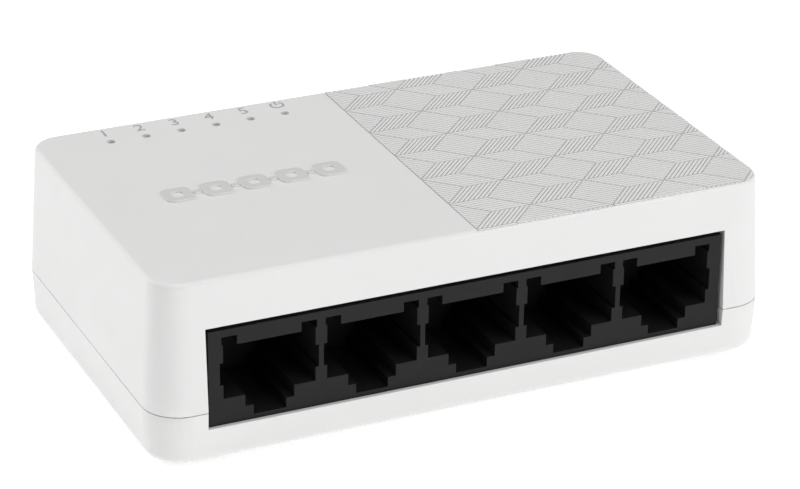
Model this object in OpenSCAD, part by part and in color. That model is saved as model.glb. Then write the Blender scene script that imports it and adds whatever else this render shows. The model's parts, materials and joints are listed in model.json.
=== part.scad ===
// Five-port desktop network switch.
// Millimetres. +X right, +Y back, +Z up; the ports face -Y. The origin is under the
// middle of the case, on the surface that the rubber feet stand on.

/* [Case] */
// Width of the case at its parting line
case_w = 87.2; // [86:0.1:92]
// Depth of the case at its parting line
case_d = 51.9; // [51.4:0.1:56]
// Height of the top surface above the table
case_top_z = 25.3; // [24.6:0.1:30]
// Height of the parting line between cover and tray
seam_z = 7.65; // [7.3:0.05:8]
// Height of the tray's underside, which the feet stand proud of
base_z = 0.8; // [0.5:0.1:0.8]
// Wall thickness of the cover
wall = 1.6; // [1.4:0.1:1.8]
// Corner radius of the case in plan, at the parting line
corner_r = 5; // [4.5:0.1:6]
// How far each wall leans in between the parting line and the top
cover_draft = 1.05; // [0.6:0.05:1.3]
// How far each wall leans in between the parting line and the underside
tray_draft = 0.3; // [0:0.05:0.5]
// Rounding of the cover's top edge
top_round = 0.7; // [0.4:0.1:1]
// Rounding of the tray's bottom edge
base_round = 1.1; // [0.5:0.1:1.3]
// Open line between the cover and the tray
seam_gap = 0.12; // [0.1:0.02:0.3]

/* [Textured half of the lid] */
// Where the textured half begins, to the right of the middle
texture_x = 0.5; // [-5:0.1:5]
// How deep the textured half is sunk
texture_depth = 0.2; // [0.1:0.01:0.3]

/* [Port block] */
// Distance from one port to the next
port_pitch = 13.97; // [13.97:0.01:14]
// Middle of the row of ports, to the left of the middle of the case
row_shift = 0.18; // [0:0.01:0.2]
// Width of the moulded port block
block_w = 72.2; // [72:0.1:72.4]
// Height of the port block above the board
block_h = 13.15; // [13.1:0.05:13.3]
// Depth of the port block from front to back
block_d = 17; // [17:0.1:17.4]
// Set-back of the port block's face from the case's front
block_setback = 0.65; // [0.5:0.05:1]
// How far the case opening clears the port block at each end
opening_clear = 0.4; // [0.3:0.05:0.5]
// Angle of the contact springs below level when no plug is in
contact_angle = 18.3; // [17:0.1:18.5]

/* [Power inlet] */
// Middle of the power inlet, to the right of the middle of the case
inlet_x = 26; // [26:0.5:27]
// Diameter of the inlet's centre pin
inlet_pin_d = 2.1; // [2:0.1:2.5]
// Diameter of the inlet's bore
inlet_bore_d = 6.2; // [6:0.1:6.4]

/* [Indicators] */
// Distance between indicator lamps
lamp_pitch = 5.03; // [4.9:0.01:5.03]
// Position of the first lamp, to the left of the middle
lamp_x = -32.4; // [-32.5:0.1:-32]
// Position of the row of lamps, behind the middle
lamp_y = 19.8; // [19.6:0.1:20]
// Diameter of each lamp hole in the lid
lamp_hole_d = 1.2; // [1.2:0.1:1.5]

/* [Hidden] */
$fn = 48;
eps = 0.01;

// Heights inside the case
floor_z = base_z + wall;
board_t = 1.2;
board_top = 5.3;
board_z = board_top - board_t;
lip_t = 0.7;
lip_h = 1.3;
lip_clear = 0.2;
tray_wall = wall + lip_clear + lip_t;
ceiling_z = case_top_z - wall;

// Port block and the opening for it
ports = 5;
block_front = -case_d / 2 + block_setback;
block_back = block_front + block_d;
block_top = board_top + block_h;
opening_w = block_w + 2 * opening_clear;
opening_x = [-opening_w / 2 - row_shift / 2, opening_w / 2 - row_shift / 2];
opening_top = block_top + opening_clear + 0.1;
sill_z = board_top - 0.05;
cavity_back = block_front + 12.9;

// Contact springs and their carriers
wires = 8;
wire_pitch = 1.02;
wire_w = 0.4;
wire_t = 0.35;
carrier_hw = 4.3;
shelf_t = 1.3;
carrier_z = 16.17;
carrier_top = 18.05;
carrier_roof = 17.35;
carrier_back = block_front + 14.5;
hinge_y = block_front + 1.9;
hinge_z = 16.6;
spring_len = 10;
tail_rows = [carrier_back + 0.4, carrier_back + 1.7];

// Board outline and what fastens it
board_hw = 39.8;
board_y0 = -23.2;
board_y1 = 23;
screw_xy = [37, 10.5];
peg_xy = [37.8, -17];
post_xy = [20, 20.5];
foot_xy = [35.5, 18.5];
foot_d = 8;
hook_y = -14;
block_peg_x = 1.5 * port_pitch;
block_peg_y = block_front + 7.5;

// Power inlet
inlet_w = 9;
inlet_h = 11;
inlet_len = 14;
inlet_mouth = 25.3;
inlet_z = board_top + 6.3;
inlet_depth = 9.5;
inlet_back = inlet_mouth - inlet_len;
leaf_y = inlet_mouth - inlet_depth + 0.6;
leaf_z = inlet_z - 3.75;
leaf_t = 0.3;
leaf_len = 5.2;
leaf_angle = 12;

// Parts on the board
chip_xy = [-4, 9.5];
crystal_xy = [9.5, 5.5];
capacitor_x = [9.5, 17];
capacitor_y = 14.5;
inductor_xy = [35.8, 3.9];
inductor_w = 5.8;
regulator_xy = [25.5, 5.6];
memory_xy = [-26, 12];
diode_xy = [35.3, 17.5];
transformer_y = -2.6;

lamps = [for (i = [0:5]) lamp_x + i * lamp_pitch];
wire_x = [for (k = [0:wires - 1]) (k - (wires - 1) / 2) * wire_pitch];
resistors = concat(
    [for (x = lamps) [x, 16.9]],
    [for (i = [0:7]) [-35 + 3 * i, 5.8]]
);
small_capacitors = concat(
    [for (i = [0:7]) [-35 + 3 * i, 3.4]],
    [for (i = [0:5]) [4.5 + 2.8 * i, 9.7]]
);

function port_x(i) = (i - (ports + 1) / 2) * port_pitch - row_shift;
function cover_inset(z) = cover_draft * (z - seam_z) / (case_top_z - seam_z);
function tray_inset(z) = tray_draft * (seam_z - z) / (seam_z - base_z);

// Outline of a wall as [inset, height] pairs, from its foot to its head.
arc_steps = 6;
cover_outline = concat(
    [[cover_inset(seam_z + seam_gap / 2), seam_z + seam_gap / 2]],
    [for (i = [0:arc_steps]) let (a = 90 * i / arc_steps)
        [cover_inset(case_top_z) + top_round * (1 - cos(a)),
         case_top_z - top_round * (1 - sin(a))]]
);
cover_inside = [
    [wall + cover_inset(seam_z - 1), seam_z - 1],
    [wall + cover_inset(ceiling_z), ceiling_z]
];
tray_outline = concat(
    [for (i = [0:arc_steps]) let (a = 90 * i / arc_steps)
        [tray_inset(base_z) + base_round * (1 - sin(a)),
         base_z + base_round * (1 - cos(a))]],
    [[0, seam_z - seam_gap / 2]]
);
tray_inside = [[tray_wall, floor_z], [tray_wall, seam_z + lip_h + 1]];
lip_outside = [[wall + lip_clear, floor_z - 0.2], [wall + lip_clear, seam_z + lip_h]];

// A block with round corners in plan whose walls follow an outline. The straight
// walls and the corners meet face to face, so the corners are true cones.
module walled_block(outline) {
    flank = concat(
        [[0, outline[0][1]]],
        [for (p = outline) [corner_r - p[0], p[1]]],
        [[0, outline[len(outline) - 1][1]]]
    );
    across = concat(
        [for (p = outline) [case_d / 2 - p[0], p[1]]],
        [for (i = [len(outline) - 1:-1:0]) [-case_d / 2 + outline[i][0], outline[i][1]]]
    );
    straight_w = case_w - 2 * corner_r;
    straight_d = case_d - 2 * corner_r;
    translate([-straight_w / 2, 0, 0])
        rotate([90, 0, 90]) linear_extrude(straight_w) polygon(across);
    for (side = [0, 180]) rotate(side) {
        translate([straight_w / 2, straight_d / 2, 0])
            rotate([90, 0, 0]) linear_extrude(straight_d) polygon(flank);
        translate([straight_w / 2, straight_d / 2, 0])
            rotate_extrude(angle = 90) polygon(flank);
        translate([straight_w / 2, -straight_d / 2, 0])
            rotate(-90) rotate_extrude(angle = 90) polygon(flank);
    }
}

// A box given by its low and high corners.
module span(low, high) {
    translate(low) cube(high - low);
}

// Mirrors its children to the left side and keeps the right one.
module both_sides() {
    children();
    mirror([1, 0, 0]) children();
}

module top_cover() {
    boss_d = 5.2;
    pilot_d = 1.9;
    stake_d = 1.4;
    hook_w = 7;
    inner_x = case_w / 2 - wall;
    color("whitesmoke") difference() {
        union() {
            difference() {
                walled_block(cover_outline);
                walled_block(cover_inside);
            }
            both_sides() {
                translate([screw_xy[0], screw_xy[1], board_top])
                    cylinder(d = boss_d, h = ceiling_z - board_top + 0.4);
                span([screw_xy[0] + 2, screw_xy[1] - 0.5, seam_z + 2],
                     [inner_x - cover_inset(ceiling_z) + 0.9, screw_xy[1] + 0.5, ceiling_z + 0.4]);
                // Snap hook with its catch
                span([inner_x - 1.45, hook_y - hook_w / 2, 4.5],
                     [inner_x - 0.25, hook_y + hook_w / 2, 15]);
                span([inner_x - 0.3, hook_y - hook_w / 2, seam_z + 2],
                     [inner_x + 0.3, hook_y + hook_w / 2, 15]);
                span([inner_x - 0.3, hook_y - hook_w / 2, 4.5],
                     [inner_x + 0.25, hook_y + hook_w / 2, 5.7]);
            }
            for (x = [lamps[0] + lamp_pitch / 2, lamps[5] - lamp_pitch / 2])
                translate([x, lamp_y, ceiling_z - 3])
                    cylinder(d = stake_d, h = 3.4);
        }
        // Opening for the port block, open at the parting line
        span([opening_x[0], -case_d, seam_z - 2], [opening_x[1], block_front + 6, opening_top]);
        // Opening for the power inlet
        span([inlet_x - inlet_w / 2 - 0.4, case_d / 2 - 4, seam_z - 2],
             [inlet_x + inlet_w / 2 + 0.4, case_d, board_top + inlet_h + 0.4]);
        for (x = lamps)
            translate([x, lamp_y, ceiling_z - 1]) cylinder(d = lamp_hole_d, h = wall + 2);
        // The textured half is a shallow sunk panel that runs out over the edge
        span([texture_x, -case_d, case_top_z - texture_depth], [case_w, case_d, case_top_z + 1]);
        both_sides() translate([screw_xy[0], screw_xy[1], board_top - 1])
            cylinder(d = pilot_d, h = 9);
    }
}

module bottom_tray() {
    post_d = 6.4;
    head_d = 5;
    shank_d = 2.8;
    slot_w = 1.6;
    slot_l = 14;
    inner_x = case_w / 2 - wall;
    color("whitesmoke") difference() {
        union() {
            difference() {
                union() {
                    walled_block(tray_outline);
                    walled_block(lip_outside);
                }
                walled_block(tray_inside);
            }
            both_sides() {
                translate([screw_xy[0], screw_xy[1], base_z + 0.5])
                    cylinder(d = post_d, h = board_z - base_z - 0.5);
                translate([peg_xy[0], peg_xy[1], floor_z - 0.5])
                    cylinder(d = 4, h = board_z - floor_z + 0.5);
                translate([peg_xy[0], peg_xy[1], floor_z])
                    cylinder(d = 2.2, h = board_top + 0.6 - floor_z);
                translate([post_xy[0], post_xy[1], floor_z - 0.5])
                    cylinder(d = 4, h = board_z - floor_z + 0.5);
            }
        }
        // Notches for the port block and the power inlet
        span([opening_x[0], -case_d, sill_z], [opening_x[1], block_front + 6, seam_z + 5]);
        span([inlet_x - inlet_w / 2 - 0.4, case_d / 2 - 4, sill_z],
             [inlet_x + inlet_w / 2 + 0.4, case_d, seam_z + 5]);
        both_sides() {
            // Screw hole with its counterbore
            translate([screw_xy[0], screw_xy[1], base_z - 1]) cylinder(d = head_d, h = 2.9);
            translate([screw_xy[0], screw_xy[1], base_z]) cylinder(d = shank_d, h = 5);
            // Pocket that the snap hook catches in
            span([inner_x - 2, hook_y - 4, floor_z + 0.6], [inner_x, hook_y + 4, seam_z + 5]);
            span([inner_x - 2, hook_y - 4, 4.3], [inner_x + 0.5, hook_y + 4, 5.9]);
            for (y = [-foot_xy[1], foot_xy[1]])
                translate([foot_xy[0], y, base_z - 1]) cylinder(d = foot_d + 0.4, h = 1.5);
            // Ventilation slots
            for (i = [0:5]) translate([6.5 + 3.2 * i, 1, base_z - 1]) {
                span([-slot_w / 2, -slot_l / 2, 0], [slot_w / 2, slot_l / 2, 4]);
                for (y = [-slot_l / 2, slot_l / 2]) translate([0, y, 0]) cylinder(d = slot_w, h = 4);
            }
        }
        // Recess for the rating label
        span([-26.2, -21.2, base_z - 1], [26.2, -8.8, base_z + 0.2]);
    }
}

module light_guide() {
    rail_z = ceiling_z - 2.5;
    tip_z = case_top_z - 1.1;
    color("azure", 0.7) difference() {
        union() {
            span([lamps[0] - 2.4, lamp_y - 1.5, rail_z], [lamps[5] + 2.4, lamp_y + 1.5, rail_z + 1.5]);
            for (x = lamps) {
                translate([x, lamp_y, board_top + 1.1]) cylinder(d = 2, h = rail_z - board_top - 1);
                translate([x, lamp_y, rail_z]) cylinder(d = lamp_hole_d - 0.2, h = tip_z - rail_z);
            }
        }
        for (x = [lamps[0] + lamp_pitch / 2, lamps[5] - lamp_pitch / 2])
            translate([x, lamp_y, rail_z - 1]) cylinder(d = 1.6, h = 4);
    }
}

module rubber_feet() {
    color("dimgray") for (x = [-foot_xy[0], foot_xy[0]], y = [-foot_xy[1], foot_xy[1]])
        translate([x, y, 0]) {
            cylinder(d1 = foot_d - 0.8, d2 = foot_d, h = 0.4);
            translate([0, 0, 0.4]) cylinder(d = foot_d, h = base_z + 0.5 - 0.4);
        }
}

module rating_label() {
    color("silver") span([-26, -21, base_z + 0.05], [26, -9, base_z + 0.2]);
}

module case_screws() {
    color("silver") both_sides() translate([screw_xy[0], screw_xy[1], base_z + 0.6]) difference() {
        union() {
            cylinder(d = 4.2, h = 1.3);
            translate([0, 0, 1.3]) cylinder(d = 1.86, h = 8.6);
            translate([0, 0, 9.9]) cylinder(d1 = 1.86, d2 = 0.4, h = 0.9);
        }
        // Cross recess
        for (turn = [0, 90]) rotate(turn) span([-1.2, -0.25, -1], [1.2, 0.25, 0.7]);
    }
}

module circuit_board() {
    r = 2.4;
    y_mid = (board_y0 + board_y1) / 2;
    hl = (board_y1 - board_y0) / 2;
    color("darkgreen") difference() {
        translate([0, y_mid, board_z]) union() {
            span([-board_hw + r, -hl, 0], [board_hw - r, hl, board_t]);
            span([-board_hw, -hl + r, 0], [board_hw, hl - r, board_t]);
            for (x = [-board_hw + r, board_hw - r], y = [-hl + r, hl - r])
                translate([x, y, 0]) cylinder(r = r, h = board_t);
        }
        both_sides() {
            translate([screw_xy[0], screw_xy[1], board_z - 1]) cylinder(d = 3, h = 4);
            translate([peg_xy[0], peg_xy[1], board_z - 1]) cylinder(d = 2.5, h = 4);
        }
        for (s = [-1, 1]) translate([s * block_peg_x - row_shift, block_peg_y, board_z - 1])
            cylinder(d = 3.2, h = 4);
        for (i = [1:ports], k = [0:wires - 1])
            translate([port_x(i) + wire_x[k], tail_rows[k % 2], board_z - 1])
                cylinder(d = 0.9, h = 4);
        inlet_pads(2.9, 1.1, board_z - 1, board_top + 1);
    }
}

// One port's opening, from the floor of its latch notch up, over the board's surface.
module port_outline() {
    half = [
        [2.2, 0.65], [2.2, 2], [3.3, 2], [3.3, 3.6], [6.2, 3.6], [6.2, 5.5],
        [6.65, 5.5], [6.65, 8.6], [6.2, 8.6], [6.2, 11.1], [6.4, 11.1], [6.4, 12.15]
    ];
    polygon(concat(half, [for (i = [len(half) - 1:-1:0]) [-half[i][0], half[i][1]]]));
}

module port_block() {
    half_w = block_w / 2;
    color([0.12, 0.12, 0.13]) union() {
        difference() {
            translate([-row_shift, 0, 0]) union() {
                span([-half_w, block_front, board_top], [half_w, block_back, block_top]);
                both_sides() translate([block_peg_x, block_peg_y, board_top - 1.8])
                    cylinder(d = 3, h = 2.8);
            }
            for (i = [1:ports]) translate([port_x(i), 0, 0]) {
                translate([0, cavity_back, board_top]) rotate([90, 0, 0])
                    linear_extrude(cavity_back - block_front + 1) port_outline();
                // Pocket for the contact carrier, open at the back
                span([-carrier_hw - 0.05, block_front + shelf_t, carrier_z - 0.1],
                     [carrier_hw + 0.05, block_back + 1, carrier_top + 0.05]);
                span([-5.3, cavity_back - eps, board_top - 1],
                     [5.3, block_back + 1, carrier_top + 0.05]);
            }
        }
        // Shelf over each plug, in front of the contacts
        for (i = [1:ports]) translate([port_x(i), 0, 0])
            span([-carrier_hw, block_front, carrier_z],
                 [carrier_hw, block_front + shelf_t, board_top + 12.4]);
    }
}

module contact_carriers() {
    fin_w = 0.4;
    front = block_front + shelf_t + 0.05;
    color([0.1, 0.1, 0.11]) for (i = [1:ports]) translate([port_x(i), 0, 0]) union() {
        span([-carrier_hw, front, carrier_roof], [carrier_hw, carrier_back, carrier_top]);
        span([-5.2, cavity_back + 0.1, board_top + 0.1], [5.2, carrier_back, carrier_z - 0.2]);
        for (k = [0:wires]) translate([(k - wires / 2) * wire_pitch, 0, 0]) {
            span([-fin_w / 2, front, carrier_z], [fin_w / 2, carrier_back, carrier_roof]);
            span([-fin_w / 2, cavity_back - 2, 12], [fin_w / 2, cavity_back + 0.2, carrier_z]);
            span([-fin_w / 2, cavity_back + 0.1, carrier_z - 0.3], [fin_w / 2, carrier_back, carrier_z]);
        }
    }
}

// Fixed run of each contact wire, from below the board up the back and forward.
module contact_tails() {
    front_y = hinge_y + 0.4;
    color("gold") for (i = [1:ports], k = [0:wires - 1]) {
        y = tail_rows[k % 2];
        translate([port_x(i) + wire_x[k] - wire_w / 2, 0, 0])
            rotate([90, 0, 90]) linear_extrude(wire_w) polygon([
                [y - wire_t / 2, board_z - 1], [y + wire_t / 2, board_z - 1],
                [y + wire_t / 2, carrier_roof], [front_y, carrier_roof],
                [front_y, carrier_roof - wire_t], [y - wire_t / 2, carrier_roof - wire_t]
            ]);
    }
}

// The eight sprung contacts of one port. They turn together about the bend at the front.
module port_contacts(i) {
    color("gold") for (x = wire_x)
        translate([port_x(i) + x - wire_w / 2, hinge_y, hinge_z])
            rotate([90, 0, 90]) linear_extrude(wire_w) union() {
                circle(r = 0.3);
                rotate(-contact_angle) translate([0, -wire_t / 2]) square([spring_len, wire_t]);
            }
}

module power_inlet_body() {
    color([0.08, 0.08, 0.09]) difference() {
        span([inlet_x - inlet_w / 2, inlet_back, board_top],
             [inlet_x + inlet_w / 2, inlet_mouth, board_top + inlet_h]);
        translate([inlet_x, inlet_mouth + 1, inlet_z]) rotate([90, 0, 0])
            cylinder(d = inlet_bore_d, h = inlet_depth + 1);
        translate([inlet_x, inlet_mouth, inlet_z]) rotate([90, 0, 0])
            cylinder(d = inlet_pin_d + 0.8, h = inlet_len + 1);
        // Slot for the leaf contact, open at the back
        span([inlet_x - 1.5, inlet_back - 1, leaf_z - 0.85],
             [inlet_x + 1.5, inlet_mouth - 1.5, leaf_z + 1.6]);
    }
}

// The centre pin, with a chamfered tip and a thicker shank held in the body.
module power_inlet_pin() {
    r = inlet_pin_d / 2;
    tip = 0.25;
    color("silver") translate([inlet_x, inlet_back, inlet_z]) rotate([-90, 0, 0])
        rotate_extrude() polygon([
            [0, 0], [r + 0.4, 0], [r + 0.4, inlet_len - inlet_depth], [r, inlet_len - inlet_depth],
            [r, inlet_len - 0.6 - tip], [r - tip, inlet_len - 0.6], [0, inlet_len - 0.6]
        ]);
}

// The sprung contact that presses on the plug's sleeve. It turns about its rolled root.
module power_inlet_leaf() {
    crown = leaf_len * [cos(leaf_angle), sin(leaf_angle)];
    color("gold") translate([inlet_x - 1.2, leaf_y, leaf_z])
        rotate([90, 0, 90]) linear_extrude(2.4) union() {
            circle(r = 0.4);
            rotate(leaf_angle) translate([0, -leaf_t / 2]) square([leaf_len, leaf_t]);
            translate(crown) circle(r = leaf_t / 2);
            translate(crown) rotate(-28) translate([0, -leaf_t / 2]) square([1.4, leaf_t]);
        }
}

// Where the inlet's three terminals pass through the board.
module inlet_pads(w, t, low, high) {
    for (p = [[0, inlet_back - 0.25, 0], [0, inlet_back + 5, 0], [-4.75, inlet_back + 3, 90]])
        translate([inlet_x + p[0], p[1], 0]) rotate(p[2])
            span([-w / 2, -t / 2, low], [w / 2, t / 2, high]);
}

module power_inlet_terminals() {
    color("silver") {
        inlet_pads(2.2, 0.5, board_z - 1, board_top - 0.02);
        span([inlet_x - 1.1, inlet_back - 0.5, board_top - 0.02],
             [inlet_x + 1.1, inlet_back, inlet_z + 1.5]);
        span([inlet_x - 5, inlet_back + 1.9, board_top - 0.02],
             [inlet_x - 4.5, inlet_back + 4.1, board_top + 5]);
    }
}

// A gull-wing lead that leaves a package along +X, with its root at x = 0.
module gull_lead(w, reach, rise) {
    t = 0.15;
    foot = reach * 0.55;
    translate([0, w / 2, board_top]) rotate([90, 0, 0]) linear_extrude(w) polygon([
        [0, rise], [reach - foot + t, rise], [reach - foot + t, t], [reach, t],
        [reach, 0], [reach - foot, 0], [reach - foot, rise - t], [0, rise - t]
    ]);
}

// Leads along two opposite sides of a package, w apart, with n leads a side.
module lead_rows(n, pitch, lead_w, reach, rise, w) {
    for (side = [0, 180], k = [0:n - 1]) rotate(side)
        translate([w / 2, (k - (n - 1) / 2) * pitch, 0]) gull_lead(lead_w, reach, rise);
}

// A moulded package body standing a little off the board.
module package(xy, l, w, h, lift) {
    translate([xy[0] - l / 2, xy[1] - w / 2, board_top + lift]) cube([l, w, h]);
}

module switch_chip() {
    color([0.1, 0.1, 0.1]) difference() {
        package(chip_xy, 10, 10, 1.4, 0.1);
        translate([chip_xy[0] - 3.9, chip_xy[1] - 3.9, board_top + 1.4]) cylinder(d = 1, h = 1);
    }
}

module switch_chip_leads() {
    color("silver") for (turn = [0, 90]) translate([chip_xy[0], chip_xy[1], 0]) rotate(turn)
        lead_rows(16, 0.5, 0.22, 1, 0.8, 10);
}

module line_transformers() {
    color([0.1, 0.1, 0.1]) for (i = [1:ports]) package([port_x(i), transformer_y], 12.2, 6.6, 5.4, 0.2);
}

module transformer_leads() {
    color("silver") for (i = [1:ports]) translate([port_x(i), transformer_y, 0]) rotate(90)
        lead_rows(8, 1.27, 0.45, 1.2, 1.6, 6.6);
}

module crystal_can() {
    color("silver") translate([crystal_xy[0], crystal_xy[1], board_top + 0.6]) union() {
        span([-3.3, -2.1, 0], [3.3, 2.1, 3.2]);
        for (x = [-3.3, 3.3]) translate([x, 0, 0]) cylinder(d = 4.2, h = 3.2);
    }
}

module crystal_base() {
    color("black") package(crystal_xy, 11.6, 5, 0.6, 0);
}

module capacitor_cans() {
    color("silver") for (x = capacitor_x)
        translate([x, capacitor_y, board_top + 0.9]) cylinder(d = 6.3, h = 5.4);
}

module capacitor_bases() {
    color("black") for (x = capacitor_x) package([x, capacitor_y], 6.6, 6.6, 0.9, 0);
}

module power_inductor() {
    color("dimgray") difference() {
        package(inductor_xy, inductor_w, inductor_w, 3.4, 0.1);
        translate([inductor_xy[0], inductor_xy[1], board_top + 3]) difference() {
            cylinder(d = inductor_w - 1, h = 1);
            translate([0, 0, -1]) cylinder(d = inductor_w - 1.6, h = 3);
        }
    }
}

module inductor_terminals() {
    color("silver") for (side = [0, 180]) translate([inductor_xy[0], inductor_xy[1], board_top])
        rotate(side) span([inductor_w / 2, -1.4, 0], [inductor_w / 2 + 0.45, 1.4, 1.2]);
}

module regulator_chip() {
    color([0.1, 0.1, 0.1]) package(regulator_xy, 4.9, 3.9, 1.4, 0.15);
}

module regulator_leads() {
    color("silver") translate([regulator_xy[0], regulator_xy[1], 0]) rotate(90)
        lead_rows(4, 1.27, 0.4, 1, 0.9, 3.9);
}

module memory_chip() {
    color([0.1, 0.1, 0.1]) package(memory_xy, 4.9, 3.9, 1.4, 0.15);
}

module memory_chip_leads() {
    color("silver") translate([memory_xy[0], memory_xy[1], 0]) rotate(90)
        lead_rows(4, 1.27, 0.4, 1, 0.9, 3.9);
}

module protection_diode() {
    color([0.1, 0.1, 0.1]) package(diode_xy, 4.3, 2.6, 2, 0.1);
}

module diode_terminals() {
    color("silver") for (side = [0, 180]) translate([diode_xy[0], diode_xy[1], board_top])
        rotate(side) span([2.15, -0.75, 0], [2.6, 0.75, 1]);
}

module led_bases() {
    color("ivory") for (x = lamps) package([x, lamp_y], 2, 1.25, 0.3, 0);
}

module led_lenses() {
    color("palegreen") for (x = lamps) package([x, lamp_y], 1.2, 1.25, 0.5, 0.3);
}

// Small two-ended parts: the bodies, and the metal ends that they stand between.
module chip_bodies(places, l, w, h) {
    for (p = places) package(p, l - 0.6, w, h, 0);
}

module chip_ends(places, l, w, h) {
    for (p = places, s = [-1, 1]) package([p[0] + s * (l - 0.3) / 2, p[1]], 0.3, w, h, 0);
}

module chip_resistors() {
    color("black") chip_bodies(resistors, 1.6, 0.8, 0.45);
}

module resistor_ends() {
    color("silver") chip_ends(resistors, 1.6, 0.8, 0.45);
}

module chip_capacitors() {
    color("tan") chip_bodies(small_capacitors, 1.6, 0.8, 0.8);
}

module chip_capacitor_ends() {
    color("silver") chip_ends(small_capacitors, 1.6, 0.8, 0.8);
}

top_cover();
bottom_tray();
light_guide();
rubber_feet();
rating_label();
case_screws();
circuit_board();
port_block();
contact_carriers();
contact_tails();
port_contacts(1);  // port_1_contacts
port_contacts(2);  // port_2_contacts
port_contacts(3);  // port_3_contacts
port_contacts(4);  // port_4_contacts
port_contacts(5);  // port_5_contacts
power_inlet_body();
power_inlet_pin();
power_inlet_leaf();
power_inlet_terminals();
switch_chip();
switch_chip_leads();
line_transformers();
transformer_leads();
crystal_can();
crystal_base();
capacitor_cans();
capacitor_bases();
power_inductor();
inductor_terminals();
regulator_chip();
regulator_leads();
memory_chip();
memory_chip_leads();
protection_diode();
diode_terminals();
led_bases();
led_lenses();
chip_resistors();
resistor_ends();
chip_capacitors();
chip_capacitor_ends();
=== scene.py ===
import json
import math

import bpy
import bmesh
from mathutils import Matrix, Vector


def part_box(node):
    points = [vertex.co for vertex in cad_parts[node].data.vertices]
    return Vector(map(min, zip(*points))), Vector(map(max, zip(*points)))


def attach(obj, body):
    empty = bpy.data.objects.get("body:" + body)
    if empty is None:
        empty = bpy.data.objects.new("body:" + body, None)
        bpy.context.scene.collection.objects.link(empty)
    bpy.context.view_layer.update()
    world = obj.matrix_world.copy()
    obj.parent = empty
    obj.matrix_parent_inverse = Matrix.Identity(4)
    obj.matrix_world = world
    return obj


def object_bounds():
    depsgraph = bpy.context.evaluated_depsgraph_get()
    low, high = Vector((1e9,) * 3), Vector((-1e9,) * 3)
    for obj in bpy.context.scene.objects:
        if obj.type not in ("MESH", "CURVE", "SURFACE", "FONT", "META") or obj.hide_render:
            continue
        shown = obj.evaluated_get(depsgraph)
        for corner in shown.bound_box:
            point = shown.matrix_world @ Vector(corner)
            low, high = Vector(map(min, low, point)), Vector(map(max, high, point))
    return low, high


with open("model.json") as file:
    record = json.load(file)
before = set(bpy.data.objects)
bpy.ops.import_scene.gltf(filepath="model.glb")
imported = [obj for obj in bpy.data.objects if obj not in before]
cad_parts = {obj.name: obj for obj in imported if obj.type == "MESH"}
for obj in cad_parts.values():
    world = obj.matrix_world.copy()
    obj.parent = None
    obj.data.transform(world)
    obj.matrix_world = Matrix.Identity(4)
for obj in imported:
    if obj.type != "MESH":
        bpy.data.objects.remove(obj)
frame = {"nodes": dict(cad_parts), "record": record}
CAD_BOX = [list(corner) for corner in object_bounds()]
MM = 0.001
NODES = frame["nodes"]
LID_TOP = CAD_BOX[1][2] / MM

# Camera
SENSOR = 36.0
LENS = 142.4
TARGET = Vector((1.19, 0.0, 12.46)) * MM
DISTANCE = 425 * MM
AZIMUTH = math.radians(-24.80)
ELEVATION = math.radians(25.34)
ROLL = math.radians(0.71)

# Lengths below are in mm, angles in degrees, unless a comment says otherwise.

# The lid's textured half: where it and its pattern start, how deep it is sunk, and its outline
PANEL_LEFT = 0.5
PANEL_FRONT = -24.37
PANEL_DEPTH = 0.2
PANEL_MARGIN = 0.36
LID_DRAFT = 1.05
LID_CORNER = 3.95
CORNER_STEPS = 8
# One cell of the pattern holds three tiles, drawn on these three edges
EDGE_U = Vector((5.6, 0.0))
EDGE_V = Vector((4.15, 4.17))
EDGE_W = Vector((-4.15, 4.17))
# The cells that cover the panel and more; what lies past its outline is cut off
CELLS_ACROSS = range(-2, 6)
CELLS_UP = range(-6, 8)
# How many strips each tile is cut into, and the width of the grooves between them
TILE_A = (8, 0.16)
TILE_B = (10, 0.1)
TILE_C = (7, 0.12)
# The groove round each tile, how far the lands stay below the lid, and the least area of a land
OUTLINE_W = 0.2
LAND_DROP = 0.02
LEAST_LAND = 0.02
# The sheet of painted shade that darkens the grooves' floor reaches this far above and below it,
# and starts this far inside the panel
SHADE_SHEET = 0.01

# Numbers and power sign on the plain half, one behind each lamp
MARK_Y = 22.7
MARK_SIZE = 2.1
MARK_RAISE = 0.07
MARK_EDGE = 0.02
# How many lamps there are, and how long the base of each is
LAMPS = 6
LAMP_LENGTH = 2.0
# The font's size over the height of its digits
FONT_FACTOR = 1.38
POWER_STROKE = 0.3
# Half the angle that the power sign's ring leaves open at the top
POWER_GAP = 35
POWER_STEPS = 24
# The sign's bar: middle and length over the ring's radius, rounding over the stroke
POWER_BAR_Y = 0.6
POWER_BAR_LENGTH = 1.1
POWER_BAR_ROUND = 0.4

# Relief of rounded links joined by bars, in the middle of the plain half
CHAIN_MIDDLE = Vector((-19.8, 0.0))
CHAIN_LINKS = 5
CHAIN_PITCH = 5.3
CHAIN_RAISE = 0.25
CHAIN_EDGE = 0.08
LINK_SIZE = 3.95
LINK_STROKE = 1.15
LINK_ROUND = 1.1
LINK_HOLE_ROUND = 0.5
BAR_WIDTH = 0.9
BAR_ROUND = 0.3
# How much shorter a bar is than the gap between two links
BAR_PLAY = 0.3

# A relief's face counts as its top, and takes its darker tone of painted shade, where the Z of its
# normal passes this
TOP_FACING = 0.9
# Vertices closer than these, in metres, are made one
NODE_WELD = 1e-6
RELIEF_WELD = 1e-7

# Metres from the floor's middle to its edges, and how strongly it and the surroundings glow
FLOOR_REACH = 8.0
FLOOR_GLOW = 0.37
WORLD_STRENGTH = 0.29
# Lights: azimuth and elevation, distance and size in metres, watts
LIGHTS = {
    "left_back": (-135, 25, 0.7, 0.45, 1.75),
    "front_right": (30, 22, 0.7, 0.45, 1.75),
    "overhead": (0, 85, 0.9, 0.8, 5.0),
}


# ---------------------------------------------------------------- materials

# A noise texture's values lie mostly between these
NOISE_LOW = 0.3
NOISE_HIGH = 0.7


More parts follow.
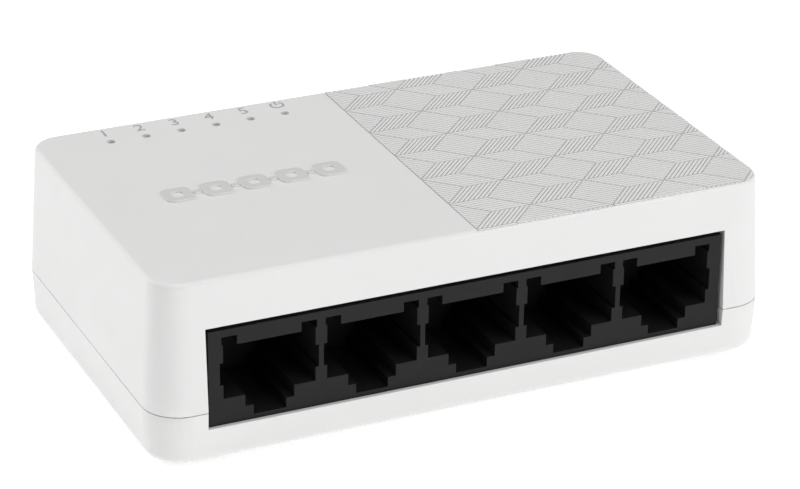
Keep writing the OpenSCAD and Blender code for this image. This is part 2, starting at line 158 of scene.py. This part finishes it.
def shader(name):
    material = bpy.data.materials.new(name)
    material.use_nodes = True
    tree = material.node_tree
    return material, tree, tree.nodes["Principled BSDF"]


def noise(tree, scale, detail=2.0, stretch=(1, 1, 1)):
    """Noise over the object's own coordinates, which are in metres."""
    place = tree.nodes.new("ShaderNodeTexCoord")
    spread = tree.nodes.new("ShaderNodeMapping")
    spread.inputs["Scale"].default_value = stretch
    texture = tree.nodes.new("ShaderNodeTexNoise")
    texture.inputs["Scale"].default_value = scale
    texture.inputs["Detail"].default_value = detail
    tree.links.new(place.outputs["Object"], spread.inputs["Vector"])
    tree.links.new(spread.outputs["Vector"], texture.inputs["Vector"])
    return texture.outputs["Fac"]


def tint(tree, socket, factor, dark, light):
    """Sends a ramp from dark to light, driven by factor, to a colour socket."""
    ramp = tree.nodes.new("ShaderNodeValToRGB")
    ramp.color_ramp.elements[0].position = NOISE_LOW
    ramp.color_ramp.elements[1].position = NOISE_HIGH
    ramp.color_ramp.elements[0].color = (*dark, 1)
    ramp.color_ramp.elements[1].color = (*light, 1)
    tree.links.new(factor, ramp.inputs["Fac"])
    tree.links.new(ramp.outputs["Color"], socket)


def spread_value(tree, socket, factor, low, high):
    """Sends factor, stretched to run from low to high, to a number socket."""
    stretch = tree.nodes.new("ShaderNodeMapRange")
    stretch.inputs["From Min"].default_value = NOISE_LOW
    stretch.inputs["From Max"].default_value = NOISE_HIGH
    stretch.inputs["To Min"].default_value = low
    stretch.inputs["To Max"].default_value = high
    tree.links.new(factor, stretch.inputs["Value"])
    tree.links.new(stretch.outputs["Result"], socket)


def bump(tree, bsdf, factor, depth, strength=0.5):
    """Roughens the surface by factor, to a depth in mm."""
    node = tree.nodes.new("ShaderNodeBump")
    node.inputs["Strength"].default_value = strength
    node.inputs["Distance"].default_value = depth * MM
    tree.links.new(factor, node.inputs["Height"])
    tree.links.new(node.outputs["Normal"], bsdf.inputs["Normal"])


def shaded(colour, share):
    """The colour, darkened to a share of itself."""
    return tuple(part * share for part in colour)


def moulded(name, colour, rough, grain=0.16, depth=0.012, vary=0.04, shine=0.5):
    """Moulded plastic with a spark-eroded grain, in mm, and faint clouding of its colour."""
    material, tree, bsdf = shader(name)
    clouds = noise(tree, 60, 3)
    patches = noise(tree, 220, 3)
    grains = noise(tree, 1 / (grain * MM), 1.5)
    tint(tree, bsdf.inputs["Base Color"], clouds, shaded(colour, 1 - vary), colour)
    spread_value(tree, bsdf.inputs["Roughness"], patches, rough - 0.05, rough + 0.05)
    bump(tree, bsdf, grains, depth)
    bsdf.inputs["IOR"].default_value = 1.5
    bsdf.inputs["Specular IOR Level"].default_value = shine
    return material


def metal(name, colour, rough, vary=0.08, grain=0.1, depth=0.004, stretch=(1, 1, 1)):
    """Bare or plated metal with fine draw marks and a little tarnish."""
    material, tree, bsdf = shader(name)
    bsdf.inputs["Metallic"].default_value = 1.0
    tarnish = noise(tree, 400, 3)
    marks = noise(tree, 1 / (grain * MM), 2, stretch)
    tint(tree, bsdf.inputs["Base Color"], tarnish, shaded(colour, 1 - vary), colour)
    spread_value(tree, bsdf.inputs["Roughness"], marks, rough - 0.06, rough + 0.08)
    bump(tree, bsdf, marks, depth)
    return material


def clear(name, colour, rough):
    """Clear moulded resin."""
    material, tree, bsdf = shader(name)
    bsdf.inputs["Transmission Weight"].default_value = 0.85
    bsdf.inputs["IOR"].default_value = 1.49
    clouds = noise(tree, 200, 2)
    haze = noise(tree, 300, 2)
    tint(tree, bsdf.inputs["Base Color"], clouds, shaded(colour, 0.93), colour)
    spread_value(tree, bsdf.inputs["Roughness"], haze, rough, rough + 0.08)
    return material


def laminate(name):
    """Circuit board: green solder mask over a faint grid that stands for its copper."""
    material, tree, bsdf = shader(name)
    place = tree.nodes.new("ShaderNodeTexCoord")
    tracks = tree.nodes.new("ShaderNodeTexBrick")
    tracks.inputs["Scale"].default_value = 260
    tracks.inputs["Mortar Size"].default_value = 0.03
    tracks.inputs["Color1"].default_value = (0.012, 0.10, 0.045, 1)
    tracks.inputs["Color2"].default_value = (0.02, 0.145, 0.06, 1)
    tracks.inputs["Mortar"].default_value = (0.008, 0.07, 0.03, 1)
    tree.links.new(place.outputs["Object"], tracks.inputs["Vector"])
    tree.links.new(tracks.outputs["Color"], bsdf.inputs["Base Color"])
    bump(tree, bsdf, tracks.outputs["Fac"], 0.02)
    gloss = noise(tree, 500, 2)
    spread_value(tree, bsdf.inputs["Roughness"], gloss, 0.28, 0.4)
    bsdf.inputs["Coat Weight"].default_value = 0.4
    return material


def floor_paint(name):
    """Pale matte paint that glows a little, so that it matches the photo's white ground."""
    material, tree, bsdf = shader(name)
    clouds = noise(tree, 6, 2)
    tint(tree, bsdf.inputs["Base Color"], clouds, (0.94, 0.94, 0.94), (0.96, 0.96, 0.96))
    bsdf.inputs["Roughness"].default_value = 0.9
    bsdf.inputs["Specular IOR Level"].default_value = 0.1
    bsdf.inputs["Emission Color"].default_value = (1, 1, 1, 1)
    bsdf.inputs["Emission Strength"].default_value = FLOOR_GLOW
    return material


WHITE = (0.715, 0.715, 0.71)
PORT_BLACK = (0.0095, 0.0095, 0.0098)
FINISH = {
    "case_plastic": moulded("case_plastic", WHITE, 0.42, grain=0.14, depth=0.008, vary=0.015),
    "clear_plastic": clear("clear_plastic", (0.86, 0.9, 0.92), 0.1),
    "foot_rubber": moulded("foot_rubber", (0.03, 0.03, 0.03), 0.8, grain=0.3, depth=0.03, vary=0.2),
    "label_film": moulded("label_film", (0.6, 0.61, 0.63), 0.35, grain=0.5, depth=0.004),
    "screw_steel": metal("screw_steel", (0.62, 0.62, 0.64), 0.3),
    "board_laminate": laminate("board_laminate"),
    "port_plastic": moulded("port_plastic", PORT_BLACK, 0.5, grain=0.12, vary=0.12, shine=0.2),
    "inlet_plastic": moulded("inlet_plastic", (0.018, 0.018, 0.019), 0.4, vary=0.12),
    "contact_gold": metal("contact_gold", (0.83, 0.6, 0.24), 0.25),
    "inlet_contact": metal("inlet_contact", (0.74, 0.7, 0.6), 0.22),
    "tinned_leads": metal("tinned_leads", (0.7, 0.71, 0.72), 0.35),
    "chip_epoxy": moulded("chip_epoxy", (0.025, 0.025, 0.026), 0.6, vary=0.15),
    "can_metal": metal("can_metal", (0.76, 0.76, 0.77), 0.28, stretch=(1, 1, 12)),
    "base_plastic": moulded("base_plastic", (0.022, 0.022, 0.022), 0.55, vary=0.15),
    "ferrite": moulded("ferrite", (0.06, 0.06, 0.062), 0.7, grain=0.3, depth=0.03, vary=0.25),
    "led_ceramic": moulded("led_ceramic", (0.72, 0.7, 0.62), 0.5, vary=0.06),
    "led_resin": clear("led_resin", (0.6, 0.85, 0.55), 0.15),
    "resistor_film": moulded("resistor_film", (0.02, 0.02, 0.025), 0.3, vary=0.2),
    "capacitor_ceramic": moulded("capacitor_ceramic", (0.4, 0.29, 0.18), 0.55, vary=0.12),
}
# The case's white again, darkened as painted shade: on the relief's top, in the pattern's grooves,
# on the marks
SLEEK = {"grain": 0.5, "depth": 0.002, "vary": 0.02}
# Painted shade on the chain relief's tops: a darker copy of the case's white; its lower roughness
# is real gloss
GLOSSY_PAINTED_SHADE = moulded("glossy_painted_shade_plastic", shaded(WHITE, 0.84), 0.25, **SLEEK)
# Painted shade: a darker copy of the case's white for the floor of the pattern's grooves
GROOVE_PAINTED_SHADE = moulded("groove_painted_shade_plastic", shaded(WHITE, 0.78), 0.3, **SLEEK)
# Painted shade on the tops of the moulded numbers and power sign: a darker copy of the case's white
MARK_PAINTED_SHADE = moulded("mark_painted_shade_plastic", shaded(WHITE, 0.5), 0.35, grain=0.3, depth=0.003, vary=0.05)


# ---------------------------------------------------------------- CAD nodes

# Rounding of the hard edges of each node; the rest get FINE_EDGE
EDGES = {
    "top_cover": 0.12, "bottom_tray": 0.12, "port_block": 0.1, "contact_carriers": 0.06,
    "power_inlet_body": 0.15, "rubber_feet": 0.2, "circuit_board": 0.06, "line_transformers": 0.15,
    "light_guide": 0.08, "case_screws": 0.08,
}
FINE_EDGE = 0.04
# An edge is hard where its faces turn by more than this
HARD_ANGLE = 32


def soften(piece, width):
    """Welds the mesh and rounds its hard edges by width, in mm."""
    weld = piece.modifiers.new("weld", "WELD")
    weld.merge_threshold = NODE_WELD
    bevel = piece.modifiers.new("edges", "BEVEL")
    bevel.width = width * MM
    bevel.segments = 2
    bevel.limit_method = "ANGLE"
    bevel.angle_limit = math.radians(HARD_ANGLE)
    bevel.harden_normals = True


def dress_nodes():
    """Gives each CAD node the finish of its material slot, and soft edges."""
    slots = {part["node"]: part["material_slot"] for part in frame["record"]["subparts"]}
    for name, piece in NODES.items():
        piece.data.materials.clear()
        piece.data.materials.append(FINISH[slots[name]])
        soften(piece, EDGES.get(name, FINE_EDGE))


# ---------------------------------------------------------------- new pieces

def hang(name, mesh):
    """Makes a mesh, given in mm, a piece of the switch's case."""
    mesh.transform(Matrix.Scale(MM, 4))
    piece = bpy.data.objects.new(name, mesh)
    bpy.context.scene.collection.objects.link(piece)
    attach(piece, "switch")
    return piece


def piece_from(mesh_maker, name, material):
    """Lets mesh_maker fill a mesh, in mm, and hangs it on the switch."""
    work = bmesh.new()
    mesh_maker(work)
    bmesh.ops.recalc_face_normals(work, faces=work.faces)
    mesh = bpy.data.meshes.new(name)
    work.to_mesh(mesh)
    work.free()
    mesh.materials.append(material)
    hang(name, mesh)


def panel_outline(left):
    """The textured half's outline in mm, from left to the case's edges, counter-clockwise."""
    half_w = CAD_BOX[1][0] / MM - LID_DRAFT - PANEL_MARGIN
    half_d = CAD_BOX[1][1] / MM - LID_DRAFT - PANEL_MARGIN
    radius = LID_CORNER - PANEL_MARGIN
    x = half_w - radius
    points = [Vector((left, -half_d))]
    for turn, y in ((-90, radius - half_d), (0, half_d - radius)):
        for step in range(CORNER_STEPS + 1):
            a = math.radians(turn + step * 90 / CORNER_STEPS)
            points.append(Vector((x + radius * math.cos(a), y + radius * math.sin(a))))
    points.append(Vector((left, half_d)))
    return points


def cut_back(polygon, p, q, keep_off):
    """The part of a convex polygon that lies left of the line p-q by keep_off or more."""
    inward = Vector((p.y - q.y, q.x - p.x)).normalized()
    depths = [(point - p).dot(inward) - keep_off for point in polygon]
    kept = []
    for k, point in enumerate(polygon):
        after = (k + 1) % len(polygon)
        if depths[k] >= 0:
            kept.append(point)
        if (depths[k] >= 0) != (depths[after] >= 0):
            share = depths[k] / (depths[k] - depths[after])
            kept.append(point.lerp(polygon[after], share))
    return kept


def tile_strips(corner, walk, hatch, count, groove):
    """The strips of one tile. They follow each other along walk, and each runs along hatch."""
    for k in range(count):
        low = corner + walk * (k / count)
        high = corner + walk * ((k + 1) / count)
        before = OUTLINE_W if k == 0 else groove
        after = OUTLINE_W if k == count - 1 else groove
        land = [low, high, high + hatch, low + hatch]
        gaps = [OUTLINE_W, after, OUTLINE_W, before]
        for p, q, gap in zip(land[:], land[1:] + land[:1], gaps):
            if walk.cross(hatch) < 0:
                p, q = q, p
            land = cut_back(land, p, q, gap / 2)
        yield land


def pattern_lands():
    """The flat strips between the pattern's grooves: three tiles, each hatched its own way."""
    start = Vector((PANEL_LEFT, PANEL_FRONT))
    for across in CELLS_ACROSS:
        for up in CELLS_UP:
            corner = start + across * (EDGE_U + EDGE_V) + up * (EDGE_V + EDGE_W)
            yield from tile_strips(corner, EDGE_U, EDGE_V, *TILE_A)
            yield from tile_strips(corner, EDGE_V, EDGE_W, *TILE_B)
            yield from tile_strips(corner + EDGE_V, EDGE_W, EDGE_U, *TILE_C)


def add_land(work, land, low, high):
    """A flat-topped land with upright sides, from height low to height high."""
    foot = [work.verts.new((*point, low)) for point in land]
    head = [work.verts.new((*point, high)) for point in land]
    for k in range(len(land)):
        after = (k + 1) % len(land)
        work.faces.new((foot[k], foot[after], head[after], head[k]))
    work.faces.new(head)
    work.faces.new(foot[::-1])


def area(polygon):
    """Area, negative where the polygon runs clockwise."""
    return sum(p.cross(q) for p, q in zip(polygon, polygon[1:] + polygon[:1])) / 2


def lid_pattern():
    """The textured half: its lands, and a darker sheet of painted shade over the floor of its
    grooves.
    """
    outline = panel_outline(PANEL_LEFT + OUTLINE_W)
    floor = LID_TOP - PANEL_DEPTH

    def draw_lands(work):
        for land in pattern_lands():
            for p, q in zip(outline, outline[1:] + outline[:1]):
                land = cut_back(land, p, q, 0)
                if len(land) < 3:
                    break
            if len(land) > 2 and abs(area(land)) > LEAST_LAND:
                add_land(work, land, floor, LID_TOP - LAND_DROP)

    def draw_shade_sheet(work):
        add_land(work, panel_outline(PANEL_LEFT + SHADE_SHEET), floor - SHADE_SHEET, floor + SHADE_SHEET)

    piece_from(draw_lands, "lid_pattern_lands", FINISH["case_plastic"])
    # This sheet is painted shade, dark where the grooves' floor lies in shade
    piece_from(draw_shade_sheet, "lid_pattern_groove_shade", GROOVE_PAINTED_SHADE)


def raised(name, curve, height, edge, material):
    """A flat curve, in mm, with softened edges, set on the lid so that it stands height proud."""
    curve.extrude = height / 2
    curve.bevel_depth = edge
    curve.bevel_resolution = 1
    curve.offset = -edge
    curve.fill_mode = "BOTH"
    holder = bpy.data.objects.new(name, curve)
    bpy.context.scene.collection.objects.link(holder)
    bpy.context.view_layer.update()
    graph = bpy.context.evaluated_depsgraph_get()
    mesh = bpy.data.meshes.new_from_object(holder.evaluated_get(graph))
    bpy.data.objects.remove(holder)
    mesh.name = name
    mesh.materials.clear()
    mesh.materials.append(material)
    mesh.materials.append(FINISH["case_plastic"])
    # Top faces get the given darker material, painted shade; the sides keep the case's white
    for face in mesh.polygons:
        face.material_index = 0 if face.normal.z > TOP_FACING else 1
    high = max(v.co.z for v in mesh.vertices)
    mesh.transform(Matrix.Translation((0, 0, LID_TOP + height - high)))
    piece = hang(name, mesh)
    weld = piece.modifiers.new("weld", "WELD")
    weld.merge_threshold = RELIEF_WELD
    return piece


def outlines_curve(name, outlines):
    """A flat curve of closed outlines. One inside another is a hole."""
    curve = bpy.data.curves.new(name, "CURVE")
    curve.dimensions = "2D"
    for outline in outlines:
        spline = curve.splines.new("POLY")
        spline.points.add(len(outline) - 1)
        for point, (x, y) in zip(spline.points, outline):
            point.co = (x, y, 0, 1)
        spline.use_cyclic_u = True
    return curve


def round_box(cx, cy, w, h, radius, steps=6):
    """A rectangle with round corners, as plan points."""
    points = []
    for quarter in range(4):
        sx = 1 if quarter in (0, 3) else -1
        sy = 1 if quarter in (0, 1) else -1
        for step in range(steps + 1):
            a = math.radians(90 * quarter + 90 * step / steps)
            points.append((cx + sx * (w / 2 - radius) + radius * math.cos(a),
                           cy + sy * (h / 2 - radius) + radius * math.sin(a)))
    return points


def chain_motif():
    """A row of rounded links joined by bars, in low relief."""
    first = CHAIN_MIDDLE.x - CHAIN_PITCH * (CHAIN_LINKS - 1) / 2
    y = CHAIN_MIDDLE.y
    hole = LINK_SIZE - 2 * LINK_STROKE
    bar = CHAIN_PITCH - LINK_SIZE - BAR_PLAY
    outlines = []
    for k in range(CHAIN_LINKS):
        x = first + k * CHAIN_PITCH
        outlines.append(round_box(x, y, LINK_SIZE, LINK_SIZE, LINK_ROUND))
        outlines.append(round_box(x, y, hole, hole, LINK_HOLE_ROUND))
        if k:
            outlines.append(round_box(x - CHAIN_PITCH / 2, y, bar, BAR_WIDTH, BAR_ROUND))
    # The links' tops take painted shade; their gloss is real
    raised("lid_motif", outlines_curve("lid_motif", outlines), CHAIN_RAISE, CHAIN_EDGE, GLOSSY_PAINTED_SHADE)


def lamp_centres():
    """Where the lamps stand along X, in mm."""
    low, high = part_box("led_bases")
    first = low.x / MM + LAMP_LENGTH / 2
    last = high.x / MM - LAMP_LENGTH / 2
    return [first + (last - first) * k / (LAMPS - 1) for k in range(LAMPS)]


def lamp_marks():
    """The port numbers behind the lamp holes, and a power sign behind the last one."""
    *ports, power = lamp_centres()
    for k, x in enumerate(ports):
        name = f"port_number_{k + 1}"
        text = bpy.data.curves.new(name, "FONT")
        text.body = str(k + 1)
        text.size = MARK_SIZE * FONT_FACTOR
        text.align_x = "CENTER"
        # The number's top takes painted shade
        piece = raised(name, text, MARK_RAISE, MARK_EDGE, MARK_PAINTED_SHADE)
        piece.data.transform(Matrix.Translation(Vector((x, MARK_Y - MARK_SIZE / 2, 0)) * MM))
    power_sign(power, MARK_Y)


def arc_points(x, y, radius, start, sweep, steps):
    """Plan points on an arc round x, y, with its angles in degrees."""
    turns = [math.radians(start + step * sweep / steps) for step in range(steps + 1)]
    return [(x + radius * math.cos(a), y + radius * math.sin(a)) for a in turns]


def power_sign(x, y):
    """A ring that is open at the top, with a bar in the opening."""
    radius = MARK_SIZE / 2
    stroke = POWER_STROKE
    turn = (90 + POWER_GAP, 360 - 2 * POWER_GAP, POWER_STEPS)
    outer = arc_points(x, y, radius, *turn)
    inner = arc_points(x, y, radius - stroke, *turn)
    length = radius * POWER_BAR_LENGTH
    bar = round_box(x, y + radius * POWER_BAR_Y, stroke, length, stroke * POWER_BAR_ROUND)
    curve = outlines_curve("power_sign", [outer + inner[::-1], bar])
    # The sign's top takes painted shade
    raised("power_sign", curve, MARK_RAISE, MARK_EDGE, MARK_PAINTED_SHADE)


# ---------------------------------------------------------------- stage

def set_camera():
    """The photo's camera. The vector back points from the target to it."""
    back = Vector((math.sin(AZIMUTH) * math.cos(ELEVATION),
                   -math.cos(AZIMUTH) * math.cos(ELEVATION), math.sin(ELEVATION)))
    right = (-back).cross(Vector((0, 0, 1))).normalized()
    up = right.cross(-back).normalized()
    turned_right = right * math.cos(ROLL) + up * math.sin(ROLL)
    turned_up = up * math.cos(ROLL) - right * math.sin(ROLL)
    data = bpy.data.cameras.new("camera")
    data.sensor_width = SENSOR
    data.lens = LENS
    data.clip_start = 0.01
    camera = bpy.data.objects.new("camera", data)
    camera.matrix_world = Matrix((
        (turned_right.x, turned_up.x, back.x, TARGET.x + back.x * DISTANCE),
        (turned_right.y, turned_up.y, back.y, TARGET.y + back.y * DISTANCE),
        (turned_right.z, turned_up.z, back.z, TARGET.z + back.z * DISTANCE),
        (0, 0, 0, 1),
    ))
    bpy.context.scene.collection.objects.link(camera)
    bpy.context.scene.camera = camera


def area_light(name, azimuth, elevation, distance, size, watts):
    """A square soft light aimed at the switch. Azimuth 0 is in front, 90 on the right."""
    a, e = math.radians(azimuth), math.radians(elevation)
    way = Vector((math.sin(a) * math.cos(e), -math.cos(a) * math.cos(e), math.sin(e)))
    data = bpy.data.lights.new(name, "AREA")
    data.size = size
    data.energy = watts
    light = bpy.data.objects.new(name, data)
    light.location = way * distance
    light.rotation_euler = way.to_track_quat("Z", "Y").to_euler()
    bpy.context.scene.collection.objects.link(light)


def stage():
    """Floor, lights and surroundings."""
    work = bmesh.new()
    bmesh.ops.create_grid(work, x_segments=8, y_segments=8, size=FLOOR_REACH)
    mesh = bpy.data.meshes.new("floor")
    work.to_mesh(mesh)
    work.free()
    floor = bpy.data.objects.new("floor", mesh)
    floor.location.z = CAD_BOX[0][2]
    mesh.materials.append(floor_paint("floor_paint"))
    bpy.context.scene.collection.objects.link(floor)
    for name, setting in LIGHTS.items():
        area_light(name, *setting)
    world = bpy.data.worlds.new("studio")
    world.use_nodes = True
    background = world.node_tree.nodes["Background"]
    background.inputs["Color"].default_value = (1, 1, 1, 1)
    background.inputs["Strength"].default_value = WORLD_STRENGTH
    bpy.context.scene.world = world
    bpy.context.scene.view_settings.view_transform = "Standard"


dress_nodes()
lid_pattern()
chain_motif()
lamp_marks()
set_camera()
stage()
